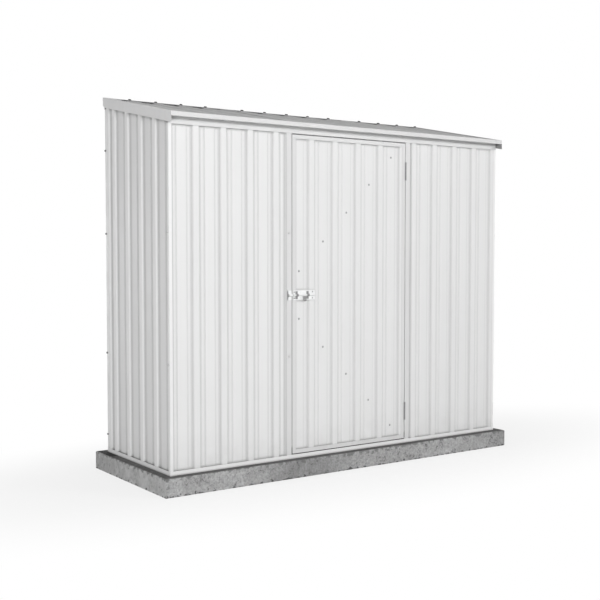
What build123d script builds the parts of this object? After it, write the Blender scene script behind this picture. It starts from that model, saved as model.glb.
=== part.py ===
from build123d import *
import os
from itertools import pairwise
from math import atan2, cos, degrees, floor, radians, sin, tan

# Metal tool shed with a lean-to roof: ribbed steel sheets held in folded channels, on a concrete slab.
# Millimetres, +X to the right, +Y to the back and +Z up, with the origin under the middle of the slab.
# Places on the shed are counted from the front wall: along it from its left end, in depth from its
# face, and in height from the slab's top.

# Walls, roof and slab
wall_width = 2260.0
wall_depth = 750.0
front_height = 1794.0
roof_slope = radians(11.5)
eave_overhang = 46.0
rear_overhang = 8.0
side_overhang = 6.5
slab_overhang = 50.0
slab_thickness = 95.0
slab_arris = 4.0

# Ribbed sheets: flat-topped ribs at a pitch, with a low swage raised in the pan between them
sheet_thickness = 0.5
rib_pitch = 160.0
rib_crest = 31.0
rib_flank = 8.0
rib_height = 10.0
pan_strip = 26.5
swage_run = 4.0
swage_height = 3.5
least_edge = 2.0

# First rib of each sheet: on the walls and roof from the left end, on the sides from the front face,
# and beside and on the door from the opening's right edge and the leaf's left edge
front_left_rib = 155.0
front_right_rib = 65.5
side_rib = 162.0
door_rib = 127.5
lapped_rib = 140.0
corner_strip = 30.0

# Lapped sheets of the roof and back wall: middles of the two laps as shares of the width, the first rib
# after a lap, and the flat strips along edges
lap_shares = [0.33, 0.7235]
lap_rib = 124.5
lap_width = 60.0
lap_setback = 2.0
roof_edge_strip = 40.0

# Folded channels and trims
channel_thickness = 0.8
channel_depth = 14.0
base_lip = 22.0
header_lip = 52.0
jamb_lip = 31.5
trim_leg = 18.0
trim_radius = 4.0

# Roof edges
flashing_thickness = 0.6
eave_flange = 40.0
eave_face = 21.5
eave_return = 16.0
rear_flange = 40.0
rear_face = 45.0
barge_flange = 30.0
barge_face = 53.0
barge_hem = 4.0
barge_clip = 12.0
roof_setback = 2.4

# Door leaf
door_start = 735.5
door_width = 789.0
door_gap = 5.0
stile_lip = 22.0
rail_lip = 22.0
brace_width = 30.0
brace_thickness = 1.0
brace_rise = 128.5
brace_corner = 15.0

# Butt hinges
hinge_height = 102.0
hinge_inset = 160.0
hinge_knuckles = 5
knuckle_radius = 3.5
knuckle_gap = 0.3
leaf_thickness = 1.5
leaf_depth = 11.0
pin_radius = 1.6
pin_head_radius = 2.6
pin_head_height = 1.2

# Pad bolt on the door, and its keeper on the jamb
plate_start = 6.5
plate_length = 140.0
plate_height = 52.0
plate_thickness = 1.5
guide_width = 14.0
guide_starts = [12.0, 84.0]
strap_thickness = 2.0
strap_foot = 21.0
bolt_radius = 5.0
bolt_start = 0.5
bolt_length = 139.0
bolt_clearance = 0.3
bolt_nose = 1.5
lug_start = 69.0
lug_width = 16.0
lug_thickness = 3.0
lug_drop = 26.0
lug_hole_radius = 4.5
keeper_start = 4.0
keeper_width = 26.0

# Fits: between pieces that lie on each other, pieces slipped into channels, and pins in their bores
seat_clearance = 0.05
slip_clearance = 0.2
pin_clearance = 0.05
overrun = 100.0

# Worked out from the sizes above
left = -wall_width / 2
face = -wall_depth / 2
ground = slab_thickness
swage_depth = rib_height - swage_height
first_lap, second_lap = [wall_width * share for share in lap_shares]
lapped_ribs = [lapped_rib, first_lap + lap_rib, second_lap + lap_rib]
lap_lift = sheet_thickness + seat_clearance
sheet_inset = trim_radius + slip_clearance
crest_top = rib_height + sheet_thickness + lap_lift
flashing_top = crest_top + seat_clearance + flashing_thickness
barge_top = flashing_top + seat_clearance + flashing_thickness
header_top = front_height - seat_clearance
header_bottom = header_top - header_lip
back_top = header_top + (wall_depth - channel_depth) * tan(roof_slope)
back_bottom = back_top - header_lip
opening_start = door_start - door_gap
opening_end = door_start + door_width + door_gap
door_bottom = base_lip + door_gap
door_height = header_bottom - door_gap - door_bottom
door_middle = door_bottom + door_height / 2
brace_start = door_rib - rib_pitch / 2
brace_angle = atan2(door_height / 2 - brace_rise, door_width - brace_corner - brace_start)
bolt_depth = -(plate_thickness + bolt_clearance + bolt_radius)
roof_frame = Plane(
    origin=(0, face, ground + front_height),
    x_dir=(1, 0, 0),
    z_dir=(0, -sin(roof_slope), cos(roof_slope)),
)


def at(along, depth, height):
    """A place counted from the front wall's left end and face, and from the slab's top."""
    return Pos(left + along, face + depth, ground + height)


def block(width, depth, height):
    """A box with its lowest corner at the origin."""
    return Box(width, depth, height, align=(Align.MIN, Align.MIN, Align.MIN))


def folded(line, thickness, side, length):
    """A sheet folded along a line in XY, its thickness laid to one side, standing along Z."""
    section = offset(line, amount=thickness, kind=Kind.INTERSECTION, side=side, closed=True)
    return extrude(make_face(section), amount=length)


def on_roof(along, up_slope, lift):
    """Where Z runs up the roof's slope and Y points down through it, at a lift over its underside."""
    return roof_frame.location * Pos(left + along, up_slope, lift) * Rot(X=-90)


def roof_height(depth, lift):
    """Height of the roof's underside at a depth, or of a plane at a lift square to it."""
    return front_height + depth * tan(roof_slope) + lift / cos(roof_slope)


# Ribbed sheets


def crest_spans(length, first_rib, start_strip, end_strip):
    """Spans of a sheet at crest level: ribs at the pitch where they fit, and flat strips at edges."""
    foot = rib_crest / 2 + rib_flank
    room = rib_flank + pan_strip
    lowest = start_strip + room if start_strip else -2 * rib_pitch
    highest = length - end_strip - room if end_strip else length + 2 * rib_pitch
    count = floor((highest - lowest) / rib_pitch) + 1
    first = first_rib - rib_pitch * floor((first_rib - lowest) / rib_pitch)
    centres = [first + rib_pitch * number for number in range(count)]
    fitting = [centre for centre in centres if lowest <= centre - foot and centre + foot <= highest]
    spans = [(centre - rib_crest / 2, centre + rib_crest / 2) for centre in fitting]
    if start_strip:
        spans.insert(0, (-rib_pitch, start_strip))
    if end_strip:
        spans.append((length - end_strip, length + rib_pitch))
    return spans


def depth_at(points, along):
    """Depth of an outline of (along, depth) points at one place along it."""
    for (start, depth), (end, next_depth) in pairwise(points):
        if start <= along <= end:
            return depth + (next_depth - depth) * (along - start) / (end - start)


def sheet_outline(length, spans):
    """Outer side of a ribbed sheet as (along, depth) points, with its crests at depth 0."""
    points = []
    for (start, end), (next_start, _) in pairwise(spans):
        foot = end + rib_flank
        next_foot = next_start - rib_flank
        points += [(start, 0), (end, 0), (foot, rib_height)]
        if next_foot - foot > 3 * pan_strip + 2 * swage_run:
            points += [
                (foot + pan_strip, rib_height),
                (foot + pan_strip + swage_run, swage_depth),
                (next_foot - pan_strip - swage_run, swage_depth),
                (next_foot - pan_strip, rib_height),
            ]
        points.append((next_foot, rib_height))
    points += [(spans[-1][0], 0), (spans[-1][1], 0)]
    folds = [point for point in points if least_edge < point[0] < length - least_edge]
    return [(0, depth_at(points, 0)), *folds, (length, depth_at(points, length))]


def ribbed_sheet(length, height, first_rib, start_strip=0, end_strip=0):
    """A ribbed sheet along X and standing on Z, with its crests facing the front at depth 0."""
    outline = sheet_outline(length, crest_spans(length, first_rib, start_strip, end_strip))
    return folded(Polyline(*outline), sheet_thickness, Side.LEFT, height)


def lapped_sheets(start, end, height, edge_strip):
    """Three sheets from start to end, the middle one lapped over its neighbours' edge strips."""
    half = lap_width / 2
    under = lap_width - lap_setback
    ends = [
        (start, first_lap - half + under),
        (first_lap - half, second_lap + half),
        (second_lap + half - under, end),
    ]
    strips = [(edge_strip, under), (lap_width, lap_width), (under, edge_strip)]
    depths = [lap_lift, 0, lap_lift]
    sheets = []
    for (low, high), (first, last), depth, rib in zip(ends, strips, depths, lapped_ribs):
        sheets.append(Pos(low, depth, 0) * ribbed_sheet(high - low, height, rib - low, first, last))
    return sheets


# Walls


def front_walls():
    """The sheets on each side of the doorway, their edges slipped into the jambs."""
    height = header_top - 2 * channel_thickness - slip_clearance
    edge = channel_thickness + slip_clearance
    left_length = opening_start - edge - sheet_inset
    right_start = opening_end + edge
    right_length = wall_width - sheet_inset - right_start
    left_sheet = ribbed_sheet(left_length, height, front_left_rib - sheet_inset, end_strip=jamb_lip - edge)
    right_sheet = ribbed_sheet(right_length, height, front_right_rib - edge)
    return (
        at(sheet_inset, channel_thickness, channel_thickness) * left_sheet,
        at(right_start, channel_thickness, channel_thickness) * right_sheet,
    )


def side_wall():
    """The right-hand side sheet, cut to the roof's slope, with a flat strip in its back corner."""
    start = channel_depth + slip_clearance
    length = wall_depth - 2 * start
    sheet = ribbed_sheet(length, back_top + overrun, side_rib - start, end_strip=corner_strip)
    standing = at(wall_width - channel_thickness, start, channel_thickness) * Rot(Z=90) * sheet
    top = rib_height - seat_clearance - channel_thickness - slip_clearance
    return split(standing, bisect_by=roof_frame.offset(top), keep=Keep.BOTTOM)


def back_walls():
    """The three lapped sheets of the back wall, from the left as seen from behind."""
    height = back_top - 2 * channel_thickness - slip_clearance
    sheets = lapped_sheets(sheet_inset, wall_width - sheet_inset, height, 0)
    seat = at(wall_width, wall_depth - channel_thickness, channel_thickness) * Rot(Z=180)
    return [seat * sheet for sheet in sheets]


def corner_trim(height):
    """The front left corner's rounded angle, standing on the base channels' lips."""
    line = FilletPolyline((trim_leg, 0), (0, 0), (0, trim_leg), radius=trim_radius)
    return at(0, 0, base_lip) * folded(line, channel_thickness, Side.RIGHT, height - base_lip)


# Channels


def level_channel(length, lip):
    """A channel along X, open upwards, with its web on Z 0 and its outer face at Y 0."""
    line = Polyline((0, lip), (0, 0), (channel_depth, 0), (channel_depth, lip))
    return Plane.YZ.location * folded(line, channel_thickness, Side.LEFT, length)


def upright_channel(along, toward, lip, bottom, height):
    """A channel on end with its web at one place along the front, its lips reaching left or right."""
    reach = along + toward * lip
    line = Polyline((reach, 0), (along, 0), (along, channel_depth), (reach, channel_depth))
    side = Side.LEFT if toward < 0 else Side.RIGHT
    return at(0, 0, bottom) * folded(line, channel_thickness, side, height)


def base_channel(length):
    """A base channel along X with ends mitred to meet its neighbours."""
    corners = [
        (0, 0),
        (length, 0),
        (length - channel_depth, channel_depth),
        (channel_depth, channel_depth),
    ]
    mitre = extrude(make_face(Polyline(*corners, close=True)), amount=base_lip)
    return level_channel(length, base_lip) & mitre


def base_channels():
    """The four base channels round the foot of the walls."""
    front = at(0, 0, 0) * base_channel(wall_width)
    back = at(wall_width, wall_depth, 0) * Rot(Z=180) * base_channel(wall_width)
    right_side = at(wall_width, 0, 0) * Rot(Z=90) * base_channel(wall_depth)
    return front, back, mirror(right_side, about=Plane.YZ), right_side


def header_channel(depth, top):
    """A channel along X over the front or back wall, open downwards."""
    return at(0, depth + channel_depth, top) * Rot(X=180) * level_channel(wall_width, header_lip)


def side_top_channel():
    """The left side wall's sloping top channel, between the front and back ones."""
    length = (wall_depth + overrun) / cos(roof_slope)
    line = Polyline((0, header_lip), (0, 0), (channel_depth, 0), (channel_depth, header_lip))
    sloping = on_roof(0, 0, rib_height - seat_clearance) * folded(line, channel_thickness, Side.LEFT, length)
    between = block(channel_depth, wall_depth - 2 * channel_depth, back_top + overrun)
    return sloping & (at(0, channel_depth, 0) * between)


# Roof


def roof_sheets():
    """The three lapped roof sheets, from the left."""
    reach = side_overhang - flashing_thickness - roof_setback
    inset = flashing_thickness + roof_setback
    front = (inset - eave_overhang + crest_top * sin(roof_slope)) / cos(roof_slope)
    back = (wall_depth + rear_overhang - inset) / cos(roof_slope)
    sheets = lapped_sheets(-reach, wall_width + reach, back - front, roof_edge_strip)
    return [on_roof(0, front, crest_top) * sheet for sheet in sheets]


def edge_flashing(points, side):
    """A flashing folded through (depth, height) points, from one barge to the other."""
    reach = side_overhang - flashing_thickness - slip_clearance
    sheet = folded(Polyline(*points), flashing_thickness, side, wall_width + 2 * reach)
    return at(-reach, 0, 0) * Plane.YZ.location * sheet


def eave_flashing():
    """The front edge: a flange on the ribs, an upright face and a return under the roof."""
    front = -eave_overhang
    top = roof_height(front, flashing_top)
    flange_end = front + eave_flange
    points = [
        (flange_end, roof_height(flange_end, flashing_top)),
        (front, top),
        (front, top - eave_face),
        (front + eave_return, top - eave_face),
    ]
    return edge_flashing(points, Side.LEFT)


def rear_flashing():
    """The high back edge: a flange on the ribs and a face down over the wall's top channel."""
    back = wall_depth + rear_overhang
    top = roof_height(back, flashing_top)
    flange_end = back - rear_flange
    points = [(flange_end, roof_height(flange_end, flashing_top)), (back, top), (back, top - rear_face)]
    return edge_flashing(points, Side.RIGHT)


def barge():
    """The left side's flashing: a flange, a deep face and a hem, cut plumb, its low back corner clipped."""
    outline = [
        (barge_flange, 0),
        (-side_overhang, 0),
        (-side_overhang, barge_face),
        (barge_hem - side_overhang, barge_face),
    ]
    length = (wall_depth + eave_overhang + rear_overhang + 2 * overrun) / cos(roof_slope)
    start = -(eave_overhang + overrun) / cos(roof_slope)
    sheet = folded(Polyline(*outline), flashing_thickness, Side.RIGHT, length)
    back = wall_depth + rear_overhang
    plumb = block(side_overhang + barge_flange, eave_overhang + back, back_top + overrun)
    trimmed = (on_roof(0, start, barge_top) * sheet) & (at(-side_overhang, -eave_overhang, 0) * plumb)
    low = roof_height(back, barge_top) - barge_face / cos(roof_slope)
    clip = Plane(origin=(0, face + back, ground + low + barge_clip), x_dir=(1, 0, 0), z_dir=(0, 1, -1))
    return split(trimmed, bisect_by=clip, keep=Keep.BOTTOM)


# Door


def door_panel():
    """The leaf's ribbed sheet, its edges slipped into the frame channels."""
    edge = channel_thickness + slip_clearance
    height = door_height - 2 * channel_thickness - slip_clearance
    sheet = ribbed_sheet(door_width - 2 * edge, height, door_rib - edge)
    return at(door_start + edge, channel_thickness, door_bottom + channel_thickness) * sheet


def door_rails():
    """The bottom and top channels of the leaf, between the stiles' lips."""
    rail = level_channel(door_width - 2 * stile_lip, rail_lip)
    start = door_start + stile_lip
    bottom = at(start, 0, door_bottom) * rail
    top = at(start, channel_depth, door_bottom + door_height) * Rot(X=180) * rail
    return bottom, top


def door_brace(upward):
    """A flat bar from the leaf's latch side up (1) or down (-1) to its far corner, behind the sheet."""
    depth = channel_thickness + rib_height + sheet_thickness + seat_clearance
    bar = Box(2 * door_height, brace_thickness, brace_width, align=(Align.CENTER, Align.MIN, Align.CENTER))
    through = at(door_start + brace_start, depth, door_middle + upward * brace_rise)
    edge = channel_thickness + slip_clearance
    inside = block(door_width - 2 * edge, channel_depth, door_height - 2 * edge)
    slanting = through * Rot(Y=-upward * degrees(brace_angle)) * bar
    return slanting & (at(door_start + edge, 0, door_bottom + edge) * inside)


def hinge_leaf(toward, slots):
    """A leaf on the left (-1) or right (1) of its pin's axis, with knuckles in some of the slots."""
    slot_height = hinge_height / hinge_knuckles
    plate_depth = knuckle_radius + knuckle_gap + leaf_depth
    plate = Pos(min(toward * door_gap / 2, toward * (door_gap / 2 - leaf_thickness)), 0, -hinge_height / 2)
    leaf = plate * block(leaf_thickness, plate_depth, hinge_height)
    for slot in range(hinge_knuckles):
        middle = Pos(0, 0, (slot + 0.5) * slot_height - hinge_height / 2)
        if slot in slots:
            leaf += middle * Cylinder(knuckle_radius, slot_height - knuckle_gap)
        else:
            leaf -= middle * Cylinder(knuckle_radius + knuckle_gap, slot_height)
    return leaf - Cylinder(pin_radius + pin_clearance, hinge_height + overrun)


def hinge_pin():
    """A pin with a flat head that rests on the top knuckle."""
    base = (Align.CENTER, Align.CENTER, Align.MIN)
    head = Cylinder(pin_head_radius, pin_head_height, align=base)
    return Cylinder(pin_radius, hinge_height) + Pos(0, 0, hinge_height / 2) * head


def hinge_places():
    """Middles of the two hinges on the axis in front of the gap at the leaf's right edge."""
    along = door_start + door_width + door_gap / 2
    depth = -(knuckle_radius + knuckle_gap)
    heights = {"lower": door_bottom + hinge_inset, "upper": door_bottom + door_height - hinge_inset}
    return {name: at(along, depth, height) for name, height in heights.items()}


# Pad bolt


def strap(width):
    """A strap bent over the bolt, its two feet flat on the face at Y 0, centred on Z 0 along X."""
    arch = bolt_radius + bolt_clearance
    outer = arch + strap_thickness
    rise = bolt_radius + bolt_clearance
    lie = Rot(Y=90)
    start = (Align.CENTER, Align.CENTER, Align.MIN)
    stem = (Align.MIN, Align.MAX, Align.CENTER)
    body = Pos(0, -rise, 0) * lie * Cylinder(outer, width, align=start)
    body += Box(width, rise, 2 * outer, align=stem)
    body += Box(width, strap_thickness, 2 * strap_foot, align=stem)
    body -= Pos(0, -rise, 0) * lie * Cylinder(arch, width, align=start)
    body -= Box(width, rise, 2 * arch, align=stem)
    return body & Box(width, rise + outer, 2 * strap_foot, align=stem)


def bolt_plate():
    """The plate on the leaf with the two straps that guide the bolt."""
    stem = (Align.MIN, Align.MAX, Align.CENTER)
    plate = Box(plate_length, plate_thickness, plate_height, align=stem)
    for start in guide_starts:
        plate += Pos(start, -plate_thickness, 0) * strap(guide_width)
    return at(door_start + plate_start, 0, door_middle) * plate


def bolt():
    """The round bolt with a flat lug, drilled for a padlock, hanging between the guides."""
    lie = Rot(Y=90)
    rod = lie * Cylinder(bolt_radius, bolt_length, align=(Align.CENTER, Align.CENTER, Align.MIN))
    rod = chamfer(rod.edges().group_by(Axis.X)[0], bolt_nose)
    middle = lug_start + lug_width / 2
    lug = Pos(middle, 0, 0) * Box(lug_width, lug_thickness, lug_drop, align=(Align.CENTER, Align.CENTER, Align.MAX))
    across = Pos(middle, 0, -lug_drop) * Rot(X=90)
    lug += across * Cylinder(lug_width / 2, lug_thickness)
    lug -= across * Cylinder(lug_hole_radius, lug_thickness)
    return at(door_start + bolt_start, bolt_depth, door_middle) * (rod + lug)


def bolt_keeper():
    """The keeper on the latch side's jamb: a small plate with a strap that takes the bolt."""
    stem = (Align.MIN, Align.MAX, Align.CENTER)
    keeper = Box(keeper_width, plate_thickness, plate_height, align=stem)
    keeper += Pos(0, -plate_thickness, 0) * strap(keeper_width)
    return at(opening_start - jamb_lip + keeper_start, 0, door_middle) * keeper


def slab():
    """The concrete slab, with its top arrises taken off."""
    width = wall_width + 2 * slab_overhang
    depth = wall_depth + 2 * slab_overhang
    body = Box(width, depth, slab_thickness, align=(Align.CENTER, Align.CENTER, Align.MIN))
    return chamfer(body.faces().sort_by(Axis.Z)[-1].edges(), slab_arris)


nodes = {"slab": slab()}

for name, channel in zip(("front", "back", "left", "right"), base_channels()):
    nodes["base_channel_" + name] = channel

nodes["front_wall_left"], nodes["front_wall_right"] = front_walls()
nodes["right_wall"] = side_wall()
nodes["left_wall"] = mirror(nodes["right_wall"], about=Plane.YZ)
for name, sheet in zip(("left", "middle", "right"), reversed(back_walls())):
    nodes["back_wall_" + name] = sheet

front_trim = corner_trim(header_bottom)
back_trim = mirror(corner_trim(back_bottom), about=Plane.XZ)
for name, trim in (("front", front_trim), ("back", back_trim)):
    nodes["corner_trim_" + name + "_left"] = trim
    nodes["corner_trim_" + name + "_right"] = mirror(trim, about=Plane.YZ)

jamb_height = header_bottom - base_lip
nodes["door_jamb_left"] = upright_channel(opening_start, -1, jamb_lip, base_lip, jamb_height)
nodes["door_jamb_right"] = upright_channel(opening_end, 1, jamb_lip, base_lip, jamb_height)

nodes["top_channel_front"] = header_channel(0, header_top)
nodes["top_channel_back"] = header_channel(wall_depth - channel_depth, back_top)
nodes["top_channel_left"] = side_top_channel()
nodes["top_channel_right"] = mirror(nodes["top_channel_left"], about=Plane.YZ)

for name, sheet in zip(("left", "middle", "right"), roof_sheets()):
    nodes["roof_sheet_" + name] = sheet
nodes["eave_flashing"] = eave_flashing()
nodes["rear_flashing"] = rear_flashing()
nodes["barge_left"] = barge()
nodes["barge_right"] = mirror(nodes["barge_left"], about=Plane.YZ)

nodes["door_panel"] = door_panel()
nodes["door_rail_bottom"], nodes["door_rail_top"] = door_rails()
nodes["door_stile_latch"] = upright_channel(door_start, 1, stile_lip, door_bottom, door_height)
nodes["door_stile_hinge"] = upright_channel(door_start + door_width, -1, stile_lip, door_bottom, door_height)
nodes["door_brace_upper"] = door_brace(1)
nodes["door_brace_lower"] = door_brace(-1)

for name, place in hinge_places().items():
    nodes["hinge_" + name + "_frame_leaf"] = place * hinge_leaf(1, range(0, hinge_knuckles, 2))
    nodes["hinge_" + name + "_door_leaf"] = place * hinge_leaf(-1, range(1, hinge_knuckles, 2))
    nodes["hinge_" + name + "_pin"] = place * hinge_pin()

nodes["bolt_plate"] = bolt_plate()
nodes["bolt"] = bolt()
nodes["bolt_keeper"] = bolt_keeper()

os.makedirs("parts", exist_ok=True)
for name, shape in nodes.items():
    export_step(shape, "parts/" + name + ".step")
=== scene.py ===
# %% [markdown]
# A metal tool shed, dressed in Blender
#
# The shed is a lean-to of ribbed steel sheets, held in folded channels on a concrete slab.
# Its solids come in from model.glb, at their real size and in their place, in metres.
# This lesson sets the camera, floor and light, gives each piece its finish, folds the ribbed sheets by
# a rule, and adds the fasteners.

# %% Load the solids
from math import cos, pi, radians, sin, tan

import bpy
from mathutils import Matrix, Vector


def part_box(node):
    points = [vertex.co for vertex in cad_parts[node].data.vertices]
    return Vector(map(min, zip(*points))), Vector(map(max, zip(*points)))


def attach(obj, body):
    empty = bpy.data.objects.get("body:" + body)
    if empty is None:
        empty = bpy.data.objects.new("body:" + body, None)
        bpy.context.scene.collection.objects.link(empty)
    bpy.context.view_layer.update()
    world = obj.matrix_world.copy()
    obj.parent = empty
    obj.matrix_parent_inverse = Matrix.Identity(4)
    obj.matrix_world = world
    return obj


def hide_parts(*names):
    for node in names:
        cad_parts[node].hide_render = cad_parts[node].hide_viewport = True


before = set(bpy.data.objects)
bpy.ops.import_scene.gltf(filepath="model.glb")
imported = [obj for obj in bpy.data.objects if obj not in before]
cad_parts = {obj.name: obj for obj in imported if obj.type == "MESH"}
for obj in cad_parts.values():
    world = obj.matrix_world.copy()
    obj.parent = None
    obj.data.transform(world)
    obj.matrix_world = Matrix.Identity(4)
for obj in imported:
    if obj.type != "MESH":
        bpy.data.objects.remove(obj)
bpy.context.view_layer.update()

# %% [markdown]
# The camera
#
# The photograph looks at the shed from the front left, at about chest height, with a normal lens.
# A camera can be placed by eye, but straight edges give it away: here the place, the turn and the
# lens were worked out from the shed's corners, so that its edges fall where the photograph has them.

# %% The camera
camera_place = Vector((-3.394, -4.746, 1.212))
camera_turn = radians(-34.90)
camera_dip = radians(2.81)
lens_length = 59.55


def new_object(name, data):
    """An object with its data, linked into the scene."""
    item = bpy.data.objects.new(name, data)
    bpy.context.scene.collection.objects.link(item)
    return item


camera_data = bpy.data.cameras.new("camera")
camera_data.lens = lens_length
camera = new_object("camera", camera_data)
camera.location = camera_place
camera.rotation_euler = (pi / 2 - camera_dip, 0, camera_turn)
bpy.context.scene.camera = camera
print("camera is", round(camera_place.length, 2), "m from the middle of the slab")

# %% [markdown]
# Nodes in a few words
#
# Finishes and repeated pieces are both node trees, so the same helpers serve them all. One adds a node,
# sets its options, and gives each input either a plain value or a link from another node's output.
# Sums are nodes too, so a second helper writes one step of arithmetic on one line.

# %% Helpers for node trees
def feed(tree, node, inputs):
    """Give a node its inputs, each a value or another node's output to link from."""
    for socket, value in inputs.items():
        if isinstance(value, bpy.types.NodeSocket):
            tree.links.new(value, node.inputs[socket])
        else:
            node.inputs[socket].default_value = value


def add_node(tree, kind, inputs=None, **settings):
    """A new node with its settings and inputs."""
    node = tree.nodes.new(kind)
    for setting, value in settings.items():
        setattr(node, setting, value)
    feed(tree, node, inputs or {})
    return node


def worked(tree, operation, first, second=0.0):
    """The output of one step of arithmetic."""
    return add_node(tree, "ShaderNodeMath", {0: first, 1: second}, operation=operation).outputs[0]


def parts(tree, vector):
    """The X, Y and Z of a vector, by name."""
    return add_node(tree, "ShaderNodeSeparateXYZ", {0: vector}).outputs


def emptied_tree(owner):
    """The node tree of a material or a world, with its first nodes taken out."""
    owner.use_nodes = True
    owner.node_tree.nodes.clear()
    return owner.node_tree


# %% [markdown]
# The floor and the white surround
#
# A product picture stands on white. More light would bleach the shed as well, so the white is only
# what the camera and mirror-like surfaces see. Light Path tells those rays from the ones that carry
# light, and the floor near the shed keeps its own shading, which is where the soft shadow falls.

# %% The floor and the surround
white = (1, 1, 1, 1)
sky_strength = 0.19
floor_reach = 40.0
floor_drop = 0.0005
floor_albedo = (0.72, 0.72, 0.72, 1)
floor_shade = (0.22, 0.22, 0.22, 1)
floor_glow = 0.755
shadow_stretch = (0.42, 1, 1)
shadow_reach = 0.42
white_reach = 1.35


def seen_rays(tree):
    """1 for rays that the camera, gloss or glass sends out, and 0 for rays that carry light."""
    path = add_node(tree, "ShaderNodeLightPath").outputs
    either = worked(tree, "MAXIMUM", path["Is Camera Ray"], path["Is Glossy Ray"])
    return worked(tree, "MAXIMUM", either, path["Is Transmission Ray"])


def blended(tree, factor, first, second):
    """Two shaders mixed by a factor."""
    return add_node(tree, "ShaderNodeMixShader", {0: factor, 1: first.outputs[0], 2: second.outputs[0]})


world = bpy.data.worlds.new("studio")
tree = emptied_tree(world)
sky = add_node(tree, "ShaderNodeBackground", {"Color": white, "Strength": sky_strength})
surround = add_node(tree, "ShaderNodeBackground", {"Color": white, "Strength": 1.0})
mixed = blended(tree, seen_rays(tree), sky, surround)
add_node(tree, "ShaderNodeOutputWorld", {"Surface": mixed.outputs[0]})
bpy.context.scene.world = world

floor_finish = bpy.data.materials.new("studio_floor")
tree = emptied_tree(floor_finish)
place = add_node(tree, "ShaderNodeTexCoord").outputs["Object"]
flattened = add_node(tree, "ShaderNodeVectorMath", {0: place, 1: shadow_stretch}, operation="MULTIPLY")
distance = add_node(tree, "ShaderNodeVectorMath", {0: flattened.outputs[0]}, operation="LENGTH")
fade = {"Value": distance.outputs["Value"], "From Min": shadow_reach, "From Max": white_reach}
far = add_node(tree, "ShaderNodeMapRange", fade, interpolation_type="SMOOTHSTEP")
carrying = add_node(tree, "ShaderNodeBsdfDiffuse", {"Color": floor_albedo})
shaded = add_node(tree, "ShaderNodeBsdfDiffuse", {"Color": floor_shade})
glow = add_node(tree, "ShaderNodeEmission", {"Color": white, "Strength": floor_glow})
near = add_node(tree, "ShaderNodeAddShader", {0: shaded.outputs[0], 1: glow.outputs[0]})
plain_white = add_node(tree, "ShaderNodeEmission", {"Color": white, "Strength": 1.0})
looked_at = blended(tree, far.outputs["Result"], near, plain_white)
floor_mix = blended(tree, seen_rays(tree), carrying, looked_at)
add_node(tree, "ShaderNodeOutputMaterial", {"Surface": floor_mix.outputs[0]})

corners = [(x * floor_reach, y * floor_reach, -floor_drop) for x, y in ((-1, -1), (1, -1), (1, 1), (-1, 1))]
floor_mesh = bpy.data.meshes.new("floor")
floor_mesh.from_pydata(corners, [], [(0, 1, 2, 3)])
floor_mesh.materials.append(floor_finish)
floor = new_object("floor", floor_mesh)
print("floor:", 2 * floor_reach, "m wide, shaded up to", white_reach, "m in front of the shed")

# %% [markdown]
# The studio light
#
# In the photograph the front is brightest, the left end is a soft grey and the roof is darker still,
# so the light comes in low and from the front. A large softbox far to the front right lights the front
# and leaves the left flank of each rib in shade, and a nearer one on the left lets the front fade a
# little toward the right. Four weak ones at chest height lift the two ends and the back, and they
# stand so low that the roof's edges throw no shadow down the walls.

# %% The studio light
target = Vector((0, 0, 0.9))

# Azimuth in degrees, distance, height and size in metres, and power in watts
softboxes = {
    "front_right": (42, 13.5, 4.6, (4.2, 2.5), 690.0),
    "front_left": (-24, 6.5, 3.2, (2.0, 1.2), 150.0),
    "left": (-48, 9.0, 1.2, (2.7, 1.6), 126.0),
    "back_left": (-110, 9.0, 1.0, (2.7, 1.6), 80.0),
    "back": (-160, 9.0, 1.0, (2.7, 1.6), 140.0),
    "back_right": (150, 9.0, 1.0, (2.7, 1.6), 230.0),
}


def softbox(name, azimuth, distance, height, size, power):
    """A rectangular lamp round the shed, facing it: azimuth 0 is in front and 90 to the right."""
    lamp = bpy.data.lights.new(name, "AREA")
    lamp.shape = "RECTANGLE"
    lamp.size, lamp.size_y = size
    lamp.energy = power
    light = new_object(name, lamp)
    way = radians(azimuth)
    light.location = (distance * sin(way), -distance * cos(way), height)
    light.rotation_euler = (target - light.location).to_track_quat("-Z", "Y").to_euler()


for name, settings in softboxes.items():
    softbox(name, *settings)
bpy.context.scene.view_settings.view_transform = "Standard"
print("softboxes:", ", ".join(softboxes))

# %% [markdown]
# Textures in a few words
#
# Every finish starts the same way: a material with one shader, whose textures read Object coordinates,
# so that they have their real size on every piece. A noise is laid out between two values, colours are
# mixed by it, and a height can raise the surface.

# %% Helpers for textures
def finish_tree(name):
    """A new material with its tree, its shader and the Object coordinates that its textures read."""
    material = bpy.data.materials.new(name)
    tree = emptied_tree(material)
    shader = add_node(tree, "ShaderNodeBsdfPrincipled")
    add_node(tree, "ShaderNodeOutputMaterial", {"Surface": shader.outputs[0]})
    place = add_node(tree, "ShaderNodeTexCoord").outputs["Object"]
    return material, tree, shader, place


def noise(tree, place, scale, detail=2.0, stretch=(1, 1, 1)):
    """A noise with so many features to the metre, stretched along an axis where one is under 1."""
    mapped = add_node(tree, "ShaderNodeMapping", {"Vector": place, "Scale": stretch})
    inputs = {"Vector": mapped.outputs[0], "Scale": scale, "Detail": detail}
    return add_node(tree, "ShaderNodeTexNoise", inputs).outputs["Fac"]


def spread(tree, value, low, high, start=0.3, end=0.7, easing="LINEAR"):
    """A value between start and end, laid out between low and high."""
    inputs = {"Value": value, "From Min": start, "From Max": end, "To Min": low, "To Max": high}
    return add_node(tree, "ShaderNodeMapRange", inputs, interpolation_type=easing).outputs["Result"]


def tint(tree, factor, first, second):
    """A colour between two, or between a colour and another node's colour, by a factor."""
    mix = add_node(tree, "ShaderNodeMix", {0: factor, 6: first, 7: second}, data_type="RGBA")
    return mix.outputs[2]


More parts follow.
